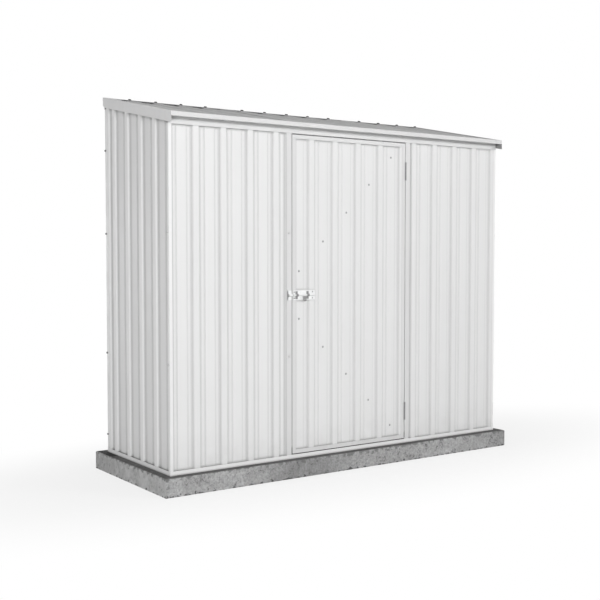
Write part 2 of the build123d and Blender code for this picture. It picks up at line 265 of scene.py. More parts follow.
def grey(level, warmth=0.0):
    """A grey of one level, a little warmer or cooler."""
    return (level * (1 + warmth), level, level * (1 - warmth), 1)


def bumped(tree, shader, height, strength, depth):
    """Let a height raise and lower the shader's surface by so many metres."""
    bump = add_node(tree, "ShaderNodeBump", {"Height": height, "Strength": strength, "Distance": depth})
    feed(tree, shader, {"Normal": bump.outputs[0]})


# %% [markdown]
# Painted steel
#
# The sheets and channels are thin steel with a baked coat of off-white paint. Up close such a coat
# has a fine orange peel, its sheen differs a little from place to place, rain leaves faint upright
# streaks and the foot of the wall is a touch dusty, all of it faint, because the shed is new.
# Seams, where a sheet enters a channel, and the feet of the ribs are painted darker as painted shade: an
# Ambient Occlusion node finds such places, because little of the space around them is open.

# %% Painted steel
slab_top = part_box("slab")[1].z
end_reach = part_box("right_wall")[1].x
cloud_scale = 2.2
cloud_share = 0.975
streak_scale = 55.0
streak_stretch = (1, 1, 0.02)
streak_strength = 0.5
streak_share = 0.95
dust_scale = 14.0
dust_height = 0.22
dust_share = 0.80
dust_warmth = 0.008
crest_depth = 0.0045
pan_depth = 0.0095
fold_shade_share = 0.70
seam_reach = 0.02
seam_shares = (0.35, 0.72)
seam_foot = 0.055
seam_foot_end = 0.075
seam_strength = 0.95
high_seam_strength = 0.06
seam_shade_grey = (0.12, 0.02)
backing_shade_level = 0.36
away_shares = (-0.9, -0.5)
sheen_scale = 9.0
peel_scale = 420.0
peel_strength = 0.08
peel_depth = 0.0006
paint_gloss = 0.2
occlusion_samples = 16


def seams(tree, reach, closed_share, open_share):
    """1 in a closed seam or fold and 0 in the open, by the share of the near space that is free: a mask for
    painted shade.
    """
    near = add_node(tree, "ShaderNodeAmbientOcclusion", {"Distance": reach}, samples=occlusion_samples)
    return spread(tree, near.outputs["AO"], 1, 0, closed_share, open_share)


def raised(tree, place):
    """1 on the crests of the end walls, less on their swages and 0 in their pans, by depth: where painted
    light goes.
    """
    from_middle = worked(tree, "ABSOLUTE", parts(tree, place)["X"])
    depth = worked(tree, "SUBTRACT", end_reach, from_middle)
    return spread(tree, depth, 1, 0, crest_depth, pan_depth)


def turned_away(tree, part):
    """1 on faces whose normal points fully to the low side of an axis, and 0 on the others."""
    return spread(tree, part, 1, 0, *away_shares)


def inner_faces(tree, place):
    """1 on faces turned to the middle of the shed from its left or right end, and 0 on the others."""
    normal = add_node(tree, "ShaderNodeNewGeometry").outputs["Normal"]
    side = worked(tree, "SIGN", parts(tree, place)["X"])
    return turned_away(tree, worked(tree, "MULTIPLY", parts(tree, normal)["X"], side))


def coat_colour(tree, place, level, dust):
    """The coat's grey with faint clouds and upright streaks, dusty toward the slab."""
    cloudy = spread(tree, noise(tree, place, cloud_scale, 4), 0, 1)
    streaky = spread(tree, noise(tree, place, streak_scale, 3, streak_stretch), 0, streak_strength)
    even = tint(tree, cloudy, grey(level), grey(level * cloud_share))
    streaked = tint(tree, streaky, even, grey(level * streak_share))
    low = spread(tree, parts(tree, place)["Z"], dust, 0, slab_top, slab_top + dust_height)
    patchy = spread(tree, noise(tree, place, dust_scale, 5), 0, 1)
    dusted = worked(tree, "MULTIPLY", low, patchy)
    return tint(tree, dusted, streaked, grey(level * dust_share, dust_warmth))


def seam_shade(tree, place):
    """How much painted shade a place takes: most in closed seams at the foot of the walls, and little above.
    """
    start, end = slab_top + seam_foot, slab_top + seam_foot_end
    foot_weight = spread(tree, parts(tree, place)["Z"], seam_strength, high_seam_strength, start, end)
    return worked(tree, "MULTIPLY", seams(tree, seam_reach, *seam_shares), foot_weight)


def painted_steel(
    name, level, dullness, dust=0.5, fold_shade_strength=1.0, fold_reach=0.0115,
    fold_shares=(0.89, 0.985), crest_light_level=None, shaded_backing=False,
):
    """Baked off-white paint with orange peel, streaks, uneven sheen, dust at its foot, and painted shade in
    folds and seams.
    """
    material, tree, shader, place = finish_tree(name)
    colour = coat_colour(tree, place, level, dust)
    # Painted shade in the folds, where ambient occlusion finds them.
    fold_shade = worked(tree, "MULTIPLY", seams(tree, fold_reach, *fold_shares), fold_shade_strength)
    # On the end walls: painted light on the crests and swages, and the folds' painted shade only in the
    # pans.
    if crest_light_level:
        crest_lit = raised(tree, place)
        colour = tint(tree, crest_lit, colour, grey(crest_light_level))
        fold_shade = worked(tree, "MULTIPLY", fold_shade, worked(tree, "SUBTRACT", 1.0, crest_lit))
    folded = tint(tree, fold_shade, colour, grey(level * fold_shade_share))
    # Painted shade in closed seams, most where the sheets enter the base channels.
    stained_and_shaded = tint(tree, seam_shade(tree, place), folded, grey(*seam_shade_grey))
    # The barges' inner faces: grey backing coat, dark enough to be painted shade as well.
    if shaded_backing:
        stained_and_shaded = tint(tree, inner_faces(tree, place), stained_and_shaded, grey(backing_shade_level))
    sheen = spread(tree, noise(tree, place, sheen_scale, 4), dullness - 0.05, dullness + 0.06)
    feed(tree, shader, {"Base Color": stained_and_shaded, "Roughness": sheen, "Specular IOR Level": paint_gloss})
    bumped(tree, shader, noise(tree, place, peel_scale, 2), peel_strength, peel_depth)
    return material


# %% [markdown]
# The paints
#
# One coat serves every piece, with a few settings. The front sheets carry the most painted shade in their
# folds. The end walls carry painted light on their crests and painted shade in their pans. The grey level
# also differs from piece to piece as painted light and shade: darker on the end walls and trims, lighter on
# the corners and base channels, and the screw heads and roof have their own grey. The barges' inner faces
# have the grey backing coat of coil-painted steel, dark enough to be painted shade as well.

# %% The paints
front_reach = 0.0165
side_reach = 0.02
side_shares = (0.80, 0.95)

# The levels below are painted light and shade: end walls and trims darker, corners and base channels
# lighter.
wall_paint = painted_steel("wall_paint", 0.82, 0.55)
strong_fold_shade_paint = painted_steel("strong_fold_shade_paint", 0.815, 0.55, fold_shade_strength=1.15, fold_reach=front_reach)
front_paint = painted_steel("front_paint", 0.81, 0.55, fold_shade_strength=0.7, fold_reach=front_reach)
side_paint = painted_steel(
    "side_paint", 0.76, 0.55,
    fold_shade_strength=1.6, fold_reach=side_reach, fold_shares=side_shares, crest_light_level=0.86,
)
trim_paint = painted_steel("trim_paint", 0.735, 0.52, fold_shade_strength=0.2)
corner_paint = painted_steel("corner_paint", 0.88, 0.52, fold_shade_strength=0.15)
barge_paint = painted_steel("barge_paint", 0.79, 0.52, fold_shade_strength=0.15, shaded_backing=True)
base_paint = painted_steel("base_paint", 0.90, 0.52, dust=0.15, fold_shade_strength=0.1)
head_paint = painted_steel("head_paint", 0.66, 0.45, dust=0, fold_shade_strength=0)
roof_paint = painted_steel("roof_paint", 0.78, 0.62, dust=0)
print("paints:", ", ".join(finish.name for finish in bpy.data.materials if finish.name.endswith("paint")))

# %% [markdown]
# Zinc and steel hardware
#
# The hinges, pad bolt and fasteners are zinc-plated steel. Zinc sets in crystals, so its tone steps
# from one small cell to the next, which a Voronoi texture gives, and handling leaves fine scratches.
# A piece can also be darker on one side of a limit: on the keeper's left edge this is painted shade.

# %% Zinc hardware
crystals_per_metre = 260.0
crystal_share = 0.86
crystal_warmth = -0.01
zinc_stain_scale = 60.0
zinc_stain_strength = 0.7
zinc_stain_range = (0.45, 0.75)
scratch_scale = 900.0
scratch_stretch = (0.06, 1, 1)
scratch_strength = 0.1
scratch_depth = 0.0003
dark_side_run = 0.0006
dark_side_strength = 0.85
dark_side_level = 0.16


def zinc(name, bright, dark, dullness, metallic, dark_side=None):
    """Zinc-plated steel with crystal cells and fine scratches, darker on the low side of a limit where one
    is given.
    """
    material, tree, shader, place = finish_tree(name)
    cells = add_node(tree, "ShaderNodeTexVoronoi", {"Vector": place, "Scale": crystals_per_metre})
    cell = parts(tree, cells.outputs["Color"])["X"]
    crystals = tint(tree, cell, grey(bright), grey(bright * crystal_share, crystal_warmth))
    stains = noise(tree, place, zinc_stain_scale, 5)
    darkened = spread(tree, stains, 0, zinc_stain_strength, *zinc_stain_range)
    stained_and_shaded = tint(tree, darkened, crystals, grey(dark))
    if dark_side:
        axis, limit = dark_side
        side_dark = spread(tree, parts(tree, place)[axis], dark_side_strength, 0, limit - dark_side_run, limit)
        stained_and_shaded = tint(tree, side_dark, stained_and_shaded, grey(dark_side_level))
    sheen = spread(tree, cell, dullness - 0.06, dullness + 0.08, 0, 1)
    feed(tree, shader, {"Base Color": stained_and_shaded, "Roughness": sheen, "Metallic": metallic})
    scratches = noise(tree, place, scratch_scale, 2, scratch_stretch)
    bumped(tree, shader, scratches, scratch_strength, scratch_depth)
    return material


# %% [markdown]
# The metals
#
# The plates and rod of the bolt are bright, its guides and lug are darker, the keeper's left edge is painted
# dark as painted shade, and the hinges are darker.
# The fasteners are darker still, and those on the roof are dull with weather.

# %% The metals
keeper_shade_width = 0.004
plate_dark_depth = 0.0019
lug_dark_drop = 0.0055

plate_low, plate_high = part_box("bolt_plate")
bolt_middle = (plate_low.z + plate_high.z) / 2
# The keeper's dark left edge is painted shade, on the side turned from the light.
keeper_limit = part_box("bolt_keeper")[0].x + keeper_shade_width
keeper_zinc = zinc("keeper_zinc", 0.92, 0.80, 0.45, 0.1, ("X", keeper_limit))
# The plate is darker on its proud straps, and the bolt below its rod, on the lug.
plate_zinc = zinc("plate_zinc", 0.92, 0.80, 0.45, 0.1, ("Y", plate_high.y - plate_dark_depth))
bolt_zinc = zinc("bolt_zinc", 0.88, 0.76, 0.42, 0.1, ("Z", bolt_middle - lug_dark_drop))
dulled_zinc = zinc("dulled_zinc", 0.30, 0.20, 0.50, 0.6)
fastener_steel = zinc("fastener_steel", 0.14, 0.09, 0.48, 0.5)
weathered_steel = zinc("weathered_steel", 0.045, 0.03, 0.75, 0.0)
metals = (keeper_zinc, plate_zinc, bolt_zinc, dulled_zinc, fastener_steel, weathered_steel)
print("metals:", ", ".join(metal.name for metal in metals))

# %% [markdown]
# Cast concrete
#
# The slab was cast in a form. Its sides are mottled grey, with small air holes, a sandy grain and
# chips along the foot where the form came away, and the holes and chips are painted dark as painted shade.
# Fine cracks wander over it, along the middle line of one more noise, and its top edge is rubbed lighter.

# %% Cast concrete
patch_scale = 6.0
cloud_spots_scale = 21.0
mottle_range = (0.38, 0.64)
pale_grey = grey(0.52, -0.004)
middle_grey = grey(0.41, 0.004)
cloud_grey = grey(0.25)
cloud_strength = 0.45
grain_scale = 75.0
grain_range = (0.36, 0.66)
grain_grey = grey(0.20)
grain_strength = 0.65
crack_scale = 20.0
crack_width = (0.006, 0.018)
crack_grey = grey(0.05)
crack_strength = 0.9
sand_scale = 420.0
sand_range = (0.45, 0.7)
sand_grey = grey(0.62)
sand_strength = 0.4
arris = (slab_top - 0.014, slab_top - 0.004)
arris_grey = grey(0.58)
arris_strength = 0.2
small_holes = (90.0, 0.76, 0.36)
large_holes = (34.0, 0.86, 0.24)
hole_edge = 0.1
chip_scale = 48.0
chip_range = (0.5, 0.72)
chip_height = 0.020
chip_edge = 0.003


def air_holes(tree, place, per_metre, bare_share, widest):
    """1 inside holes of differing width, one in some cells of a Voronoi texture, and 0 outside."""
    cells = add_node(tree, "ShaderNodeTexVoronoi", {"Vector": place, "Scale": per_metre})
    chance = parts(tree, cells.outputs["Color"])["Y"]
    width = spread(tree, chance, 0, widest, bare_share, 1)
    inside = worked(tree, "SUBTRACT", width, cells.outputs["Distance"])
    return spread(tree, inside, 0, 1, 0, hole_edge)


def mottled(tree, place, broad, clouds, fine):
    """Grey concrete in broad patches, with clouds, grain, cracks and sand, rubbed light at its arris."""
    patches = tint(tree, broad, pale_grey, middle_grey)
    clouded = tint(tree, spread(tree, clouds, 0, cloud_strength, 0, 1), patches, cloud_grey)
    grained = tint(tree, spread(tree, fine, 0, grain_strength, 0, 1), clouded, grain_grey)
    wander = worked(tree, "SUBTRACT", noise(tree, place, crack_scale, 10), 0.5)
    line = spread(tree, worked(tree, "ABSOLUTE", wander), crack_strength, 0, *crack_width)
    cracked = tint(tree, worked(tree, "MULTIPLY", line, clouds), grained, crack_grey)
    sand = spread(tree, noise(tree, place, sand_scale, 3), 0, sand_strength, *sand_range)
    sanded = tint(tree, sand, cracked, sand_grey)
    rubbed = spread(tree, parts(tree, place)["Z"], 0, arris_strength, *arris)
    return tint(tree, rubbed, sanded, arris_grey)


def hollows(tree, place):
    """1 in air holes and in the chips along the foot, and 0 on whole concrete."""
    small = air_holes(tree, place, *small_holes)
    large = air_holes(tree, place, *large_holes)
    ragged = spread(tree, noise(tree, place, chip_scale, 5), 0, chip_height, *chip_range)
    below = worked(tree, "SUBTRACT", ragged, parts(tree, place)["Z"])
    chips = spread(tree, below, 0, 1, 0, chip_edge)
    return worked(tree, "MAXIMUM", worked(tree, "MAXIMUM", small, large), chips)


# %% [markdown]
# Stains and shade on the concrete
#
# The slab's left face is paler toward the front, and a broad stain lies below the latch side of the door.
# The strip of top beside the walls is painted darker as painted shade, for the light that the walls keep
# from it, running raggedly a little over its edge, and it is darkest at the back left. Such marks have
# places, so Object coordinates and normals lay them out.

# %% Stains and shade on the concrete
# A paler left face, toward the front
left_pale_scale = 24.0
left_pale_reach = (0.0, 0.38)
left_pale_range = (0.4, 0.62)
left_pale_grey = grey(0.62)
stain_middle = -0.31
stain_reach = (0.08, 0.42)
stain_strength = 0.44
right_stain = (0.9, 1.15)
right_stain_strength = 0.25
stain_grey = grey(0.12)
top_shares = (0.75, 0.95)
# Painted shade on the top face, running raggedly a little over its edge
top_edge_scale = 34.0
top_edge_range = (0.42, 0.66)
top_edge_drop = 0.022
top_edge_band = (slab_top - 0.002, slab_top + 0.008)
top_shade_strength = 0.7
top_shade_grey = grey(0.13)
patchy_shade_strengths = (0.75, 0.97)
patchy_shade_grey = grey(0.08, 0.02)
slab_low, slab_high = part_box("slab")
# Darkest at one corner of the top, at the back left
dark_corner = Vector((slab_low.x + 0.02, slab_high.y - 0.09, slab_top))
dark_corner_reach = (0.12, 0.16)
dark_corner_wander = 0.09
dark_corner_strength = 0.95
dark_corner_grey = grey(0.015)
# Painted shade in the air holes and chips
pit_shade_strength = 0.8
pit_shade_grey = grey(0.05)
concrete_dullness = (0.82, 0.95)
relief_strength = 0.6
relief_depth = 0.0015
concrete_gloss = 0.25


def paled_and_stained(tree, place, normal, colour):
    """The colour paler on the left face, toward the front, and stained in the middle and at the right."""
    part = parts(tree, place)
    left_face = turned_away(tree, normal["X"])
    left_pale = worked(tree, "MULTIPLY", left_face, spread(tree, part["Y"], 0.5, 0.08, *left_pale_reach))
    blotches = spread(tree, noise(tree, place, left_pale_scale, 6), 1.4, 0.5, *left_pale_range)
    left_paled = tint(tree, worked(tree, "MULTIPLY", left_pale, blotches), colour, left_pale_grey)
    from_stain = worked(tree, "ABSOLUTE", worked(tree, "SUBTRACT", part["X"], stain_middle))
    middle = spread(tree, from_stain, stain_strength, 0, *stain_reach)
    right = spread(tree, part["X"], 0, right_stain_strength, *right_stain)
    return tint(tree, worked(tree, "MAXIMUM", middle, right), left_paled, stain_grey)


def shaded_top(tree, place, normal, colour, broad, clouds):
    """The colour in painted shade on the top face, running raggedly a little over its edge, darkest at one
    corner.
    """
    top_face = spread(tree, normal["Z"], 0, 1, *top_shares)
    ragged_drop = spread(tree, noise(tree, place, top_edge_scale, 6), 0, top_edge_drop, *top_edge_range)
    over_edge = worked(tree, "ADD", parts(tree, place)["Z"], ragged_drop)
    darkened = tint(tree, spread(tree, over_edge, 0, top_shade_strength, *top_edge_band), colour, top_shade_grey)
    # Patchy painted shade on the top face.
    patchy_shade = worked(tree, "MULTIPLY", top_face, spread(tree, broad, *patchy_shade_strengths, 0, 1))
    patchy_shaded = tint(tree, patchy_shade, darkened, patchy_shade_grey)
    from_dark_corner = add_node(tree, "ShaderNodeVectorMath", {0: place, 1: dark_corner}, operation="DISTANCE")
    wandering = spread(tree, clouds, 0, dark_corner_wander, 0, 1)
    reach = worked(tree, "ADD", from_dark_corner.outputs["Value"], wandering)
    corner_dark = worked(tree, "MULTIPLY", spread(tree, reach, dark_corner_strength, 0, *dark_corner_reach), top_face)
    return tint(tree, corner_dark, patchy_shaded, dark_corner_grey)


def cast_concrete(name):
    """Mottled concrete with sandy grain, a rubbed arris, and painted shade in its air holes, its chipped
    foot and on its top.
    """
    material, tree, shader, place = finish_tree(name)
    normal = parts(tree, add_node(tree, "ShaderNodeNewGeometry").outputs["Normal"])
    broad = spread(tree, noise(tree, place, patch_scale, 6), 0, 1, *mottle_range)
    clouds = spread(tree, noise(tree, place, cloud_spots_scale, 6), 0, 1, *mottle_range)
    fine = spread(tree, noise(tree, place, grain_scale, 6), 0, 1, *grain_range)
    sides = paled_and_stained(tree, place, normal, mottled(tree, place, broad, clouds, fine))
    hollow = hollows(tree, place)
    # Painted shade in the air holes and chips.
    pit_shaded = tint(tree, worked(tree, "MULTIPLY", hollow, pit_shade_strength), sides, pit_shade_grey)
    colour = shaded_top(tree, place, normal, pit_shaded, broad, clouds)
    sheen = spread(tree, fine, *concrete_dullness, 0, 1)
    feed(tree, shader, {"Base Color": colour, "Roughness": sheen, "Specular IOR Level": concrete_gloss})
    relief = worked(tree, "SUBTRACT", spread(tree, fine, 0, 0.5, 0, 1), hollow)
    bumped(tree, shader, relief, relief_strength, relief_depth)
    return material


concrete = cast_concrete("cast_concrete")
print("concrete:", concrete.name)

# %% [markdown]
# Finishes for the solids
#
# Each solid keeps the mesh that it came with and only changes its material. A solid's name says what
# it is, so a short table of name starts is enough to tell paint from metal and concrete.

# %% Finishes for the solids
finish_by_name = {
    "slab": concrete,
    "roof_sheet": roof_paint,
    "bolt_plate": plate_zinc,
    "bolt_keeper": keeper_zinc,
    "bolt": bolt_zinc,
    "hinge": dulled_zinc,
    "front_wall_left": strong_fold_shade_paint,
    "front_wall_right": front_paint,
    "left_wall": side_paint,
    "right_wall": side_paint,
    "back_wall": wall_paint,
    "door_panel": front_paint,
    "corner_trim": corner_paint,
    "barge": barge_paint,
    "base_channel": base_paint,
    "": trim_paint,
}
for name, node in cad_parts.items():
    start = next(start for start in finish_by_name if name.startswith(start))
    node.data.materials.clear()
    node.data.materials.append(finish_by_name[start])
print("finished solids:", len(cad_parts))

# %% [markdown]
# Ribbed sheets by a rule
#
# A roll-forming mill presses the same profile into every sheet: flat-topped ribs at a pitch, with a low
# swage in each pan to stiffen it, and a flat strip where a sheet laps or enters a corner. A profile that
# repeats is a rule, so a Geometry Nodes tree can fold a sheet of any length and height from a flat grid.
# Each column of the grid asks how far it is from the nearest crest, and that distance gives its depth.
# The columns are fine, and the flanks ease in and out of the flats, as a mill's rollers round the folds.

# %% The profile of ribbed sheets
sheet_sizes = {
    "Length": 1.0,
    "Start Height": 1.0,
    "End Height": 1.0,
    "First Rib": 0.0,
    "Start Strip": 0.0,
    "End Strip": 0.0,
    "Rib Pitch": 0.160,
    "Rib Crest": 0.031,
    "Rib Flank": 0.008,
    "Rib Height": 0.010,
    "Fold Round": 0.003,
    "Pan Strip": 0.0265,
    "Swage Run": 0.004,
    "Swage Height": 0.0035,
    "Thickness": 0.0005,
    "Column": 0.002,
}
far_away = 10.0


def sized_tree(name, sizes):
    """A geometry tree with named sizes and a finish as inputs, and the outputs that give them."""
    tree = bpy.data.node_groups.new(name, "GeometryNodeTree")
    tree.interface.new_socket("Points", in_out="INPUT", socket_type="NodeSocketGeometry")
    for size, value in sizes.items():
        socket = tree.interface.new_socket(size, in_out="INPUT", socket_type="NodeSocketFloat")
        socket.default_value = value
    tree.interface.new_socket("Finish", in_out="INPUT", socket_type="NodeSocketMaterial")
    tree.interface.new_socket("Geometry", in_out="OUTPUT", socket_type="NodeSocketGeometry")
    return tree, tree.nodes.new("NodeGroupInput").outputs


def chosen(tree, condition, when_not, when_so):
    """One of two values, by a condition of 0 or 1."""
    inputs = {"Switch": condition, "False": when_not, "True": when_so}
    return add_node(tree, "GeometryNodeSwitch", inputs, input_type="FLOAT").outputs[0]


def strip_distance(tree, strip, distance):
    """Distance to the crest-high strip at an edge, or far away where the edge has none."""
    has_strip = worked(tree, "GREATER_THAN", strip, 0.0)
    return chosen(tree, has_strip, far_away, worked(tree, "SUBTRACT", distance, strip))


def crest_distances(tree, size, along):
    """Distances from a column to the nearest rib's crest and to the strips at the sheet's two edges."""
    from_end = worked(tree, "SUBTRACT", size["Length"], along)
    to_start = strip_distance(tree, size["Start Strip"], along)
    to_end = strip_distance(tree, size["End Strip"], from_end)
    ribs_on = worked(tree, "DIVIDE", worked(tree, "SUBTRACT", along, size["First Rib"]), size["Rib Pitch"])
    nearest = worked(tree, "MULTIPLY", worked(tree, "ROUND", ribs_on), size["Rib Pitch"])
    middle = worked(tree, "ADD", nearest, size["First Rib"])
    half_crest = worked(tree, "DIVIDE", size["Rib Crest"], 2.0)
    off_middle = worked(tree, "ABSOLUTE", worked(tree, "SUBTRACT", along, middle))
    off_crest = worked(tree, "SUBTRACT", off_middle, half_crest)
    rib_start = strip_distance(tree, size["Start Strip"], middle)
    rib_end = strip_distance(tree, size["End Strip"], worked(tree, "SUBTRACT", size["Length"], middle))
    two_flanks = worked(tree, "MULTIPLY", size["Rib Flank"], 2.0)
    room = worked(tree, "ADD", worked(tree, "ADD", half_crest, two_flanks), size["Pan Strip"])
    fits = worked(tree, "GREATER_THAN", worked(tree, "MINIMUM", rib_start, rib_end), room)
    return chosen(tree, fits, far_away, off_crest), to_start, to_end


def sheet_depth(tree, size, along):
    """Depth of a column behind the crests: down the flank into the pan, then up a little on the swage."""
    to_rib, to_start, to_end = crest_distances(tree, size, along)
    to_strip = worked(tree, "MINIMUM", to_start, to_end)
    off_crest = worked(tree, "MINIMUM", to_rib, to_strip)
    flank_start = worked(tree, "MULTIPLY", size["Fold Round"], -1.0)
    flank_end = worked(tree, "ADD", size["Rib Flank"], size["Fold Round"])
    pan = spread(tree, off_crest, 0.0, size["Rib Height"], flank_start, flank_end, "SMOOTHSTEP")
    swage_start = worked(tree, "ADD", size["Rib Flank"], size["Pan Strip"])
    swage_end = worked(tree, "ADD", swage_start, size["Swage Run"])
    across = worked(tree, "ADD", to_rib, to_strip)
    least = worked(tree, "ADD", worked(tree, "MULTIPLY", swage_end, 2.0), size["Pan Strip"])
    wide = worked(tree, "GREATER_THAN", across, least)
    swage_height = worked(tree, "MULTIPLY", wide, size["Swage Height"])
    swage = spread(tree, off_crest, 0.0, swage_height, swage_start, swage_end)
    return worked(tree, "SUBTRACT", pan, swage)


# %% [markdown]
# From a profile to a sheet
#
# A folded grid is only a skin, and real sheet has two faces and an edge. The tree pushes a second skin
# out by the sheet's thickness, turns the first one over and merges the two where they meet. Then it
# smooths the folds, keeps the cut edges sharp and gives the sheet its paint. A plain mesh is taken
# from the tree, so that the finished piece needs no tree.

# %% A tree for ribbed sheets
sharp_turn = radians(60)
merge_reach = 0.00005


def thickened(tree, surface, thickness):
    """A surface with a second skin and edges, grown toward the front by its thickness."""
    push = {"Mesh": surface, "Offset": (0, -1, 0), "Offset Scale": thickness, "Individual": False}
    skin = add_node(tree, "GeometryNodeExtrudeMesh", push, mode="FACES")
    back = add_node(tree, "GeometryNodeFlipFaces", {"Mesh": surface})
    both = add_node(tree, "GeometryNodeJoinGeometry", {0: skin.outputs["Mesh"]})
    tree.links.new(back.outputs[0], both.inputs[0])
    merge = {"Geometry": both.outputs[0], "Distance": merge_reach}
    return add_node(tree, "GeometryNodeMergeByDistance", merge).outputs[0]


def finished(tree, geometry, finish, turn_limit):
    """The geometry made real and smooth, but for edges that turn by more than a limit, in its finish."""
    real = add_node(tree, "GeometryNodeRealizeInstances", {"Geometry": geometry}).outputs[0]
    smooth = add_node(tree, "GeometryNodeSetShadeSmooth", {"Geometry": real, "Shade Smooth": True})
    turn = add_node(tree, "GeometryNodeInputMeshEdgeAngle").outputs["Unsigned Angle"]
    sharp = worked(tree, "GREATER_THAN", turn, turn_limit)
    edges = {"Geometry": smooth.outputs[0], "Selection": sharp, "Shade Smooth": False}
    creased = add_node(tree, "GeometryNodeSetShadeSmooth", edges, domain="EDGE").outputs[0]
    coated = add_node(tree, "GeometryNodeSetMaterial", {"Geometry": creased, "Material": finish})
    add_node(tree, "NodeGroupOutput", {0: coated.outputs[0]})


def sheet_tree():
    """A ribbed sheet along X, standing on Z, with its crests at depth 0 and its pans behind them."""
    tree, size = sized_tree("ribbed_sheet", sheet_sizes)
    columns = worked(tree, "DIVIDE", size["Length"], size["Column"])
    flat = {"Size X": size["Length"], "Size Y": 1.0, "Vertices X": columns, "Vertices Y": 2}
    grid = add_node(tree, "GeometryNodeMeshGrid", flat)
    point = parts(tree, add_node(tree, "GeometryNodeInputPosition").outputs[0])
    along = worked(tree, "ADD", point["X"], worked(tree, "DIVIDE", size["Length"], 2.0))
    top = spread(tree, along, size["Start Height"], size["End Height"], 0.0, size["Length"])
    height = worked(tree, "MULTIPLY", worked(tree, "ADD", point["Y"], 0.5), top)
    behind = worked(tree, "ADD", sheet_depth(tree, size, along), size["Thickness"])
    folded = add_node(tree, "ShaderNodeCombineXYZ", {"X": along, "Y": behind, "Z": height})
    folding = {"Geometry": grid.outputs["Mesh"], "Position": folded.outputs[0]}
    placed = add_node(tree, "GeometryNodeSetPosition", folding)
    finished(tree, thickened(tree, placed.outputs[0], size["Thickness"]), size["Finish"], sharp_turn)
    return tree


def grown_mesh(name, tree, seed_mesh, sizes):
    """The plain mesh that a tree makes from a seed mesh, with its inputs set by socket identifier."""
    source = new_object(name + "_source", seed_mesh)
    modifier = source.modifiers.new("shape", "NODES")
    modifier.node_group = tree
    for item in tree.interface.items_tree:
        if item.in_out == "INPUT" and item.name in sizes:
            modifier[item.identifier] = sizes[item.name]
    graph = bpy.context.evaluated_depsgraph_get()
    mesh = bpy.data.meshes.new_from_object(source.evaluated_get(graph))
    bpy.data.objects.remove(source)
    return mesh


ribbed_sheet = sheet_tree()
print("sheet tree:", len(ribbed_sheet.nodes), "nodes")

# %% [markdown]
# Sheets on the walls, door and roof
#
# Every sheet is cut from the same profile, so what differs is its length, its height at each end and
# where its first rib falls. Its own X runs along the wall with the outside in front, and a turn sets
# it down at its corner: the walls face four ways, and the roof leans back at its slope. Each sheet
# stands in for the solid of the same name, and the solid's box gives its length and its corner.

# %% Sheets on the walls, door and roof
rib_pitch = sheet_sizes["Rib Pitch"]
roof_slope = radians(11.5)
front_left_rib = 0.155
front_right_rib = 0.0655
door_rib = 0.1275
side_rib = 0.162
corner_strip = 0.030
jamb_strip = 0.0305
lap_strip = 0.060
under_strip = 0.058
roof_edge_strip = 0.040
lapped_ribs = {"left": 0.140, "middle": 0.8703, "right": 1.7596}

wall_low, wall_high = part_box("base_channel_front")
back_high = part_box("base_channel_back")[1]
left_end, right_end = wall_low.x, wall_high.x
front_face, back_face = wall_low.y, back_high.y
to_right, to_back = Vector((1, 0, 0)), Vector((0, 1, 0))
into_roof = Vector((0, sin(roof_slope), -cos(roof_slope)))


def stand_sheet(node, body, along, inward, corner, sizes, finish):
    """A ribbed sheet in place of a solid: its X turned along a wall, its Y inward, its foot at a corner."""
    seed_mesh = bpy.data.meshes.new(node + "_seed")
    all_sizes = {**sheet_sizes, **sizes, "Finish": finish}
    mesh = grown_mesh(node + "_sheet", ribbed_sheet, seed_mesh, all_sizes)
    turn = Matrix((along, inward, along.cross(inward))).transposed().to_4x4()
    mesh.transform(Matrix.Translation(corner) @ turn)
    piece = new_object(node + "_sheet", mesh)
    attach(piece, body)
    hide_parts(node)
    return piece


def even_sizes(length, tall, first_rib, start_strip, end_strip):
    """The sizes of a sheet with a level top."""
    sizes = {"Length": length, "Start Height": tall, "End Height": tall, "First Rib": first_rib}
    return sizes | {"Start Strip": start_strip, "End Strip": end_strip}


def front_sheet(node, body, first_rib, finish, end_strip=0.0):
    """A sheet that faces the front, from its left edge, with its first rib at a place on the part's X."""
    low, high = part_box(node)
    sizes = even_sizes(high.x - low.x, high.z - low.z, first_rib - low.x, 0.0, end_strip)
    return stand_sheet(node, body, to_right, to_back, low, sizes, finish)


def side_sheets():
    """The two end walls: the right one runs to the back and the left one comes from it, tops sloping."""
    pieces = []
    for node, along, inward in (("right_wall", to_back, -to_right), ("left_wall", -to_back, to_right)):
        low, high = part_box(node)
        length = high.y - low.y
        back_tall = high.z - low.z
        front_tall = back_tall - length * tan(roof_slope)
        rib = front_face + side_rib
        sizes = {"Length": length}
        if node == "right_wall":
            corner = Vector((high.x, low.y, low.z))
            sizes |= {"Start Height": front_tall, "End Height": back_tall}
            sizes |= {"First Rib": rib - low.y, "End Strip": corner_strip}
        else:
            corner = Vector((low.x, high.y, low.z))
            sizes |= {"Start Height": back_tall, "End Height": front_tall}
            sizes |= {"First Rib": high.y - rib, "Start Strip": corner_strip}
        pieces.append(stand_sheet(node, "shed", along, inward, corner, sizes, side_paint))
    return pieces


def back_sheets():
    """The back wall's three sheets, which run from the right to the left, the middle one on top."""
    strips = {"right": (0.0, under_strip), "middle": (lap_strip, lap_strip), "left": (under_strip, 0.0)}
    ribs = {"right": lapped_ribs["left"], "middle": lapped_ribs["middle"], "left": lapped_ribs["right"]}
    pieces = []
    for side, edges in strips.items():
        node = "back_wall_" + side
        low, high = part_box(node)
        first_rib = ribs[side] - (right_end - high.x)
        sizes = even_sizes(high.x - low.x, high.z - low.z, first_rib, *edges)
        corner = Vector((high.x, high.y, low.z))
        piece = stand_sheet(node, "shed", -to_right, -to_back, corner, sizes, wall_paint)
        pieces.append(piece)
    return pieces


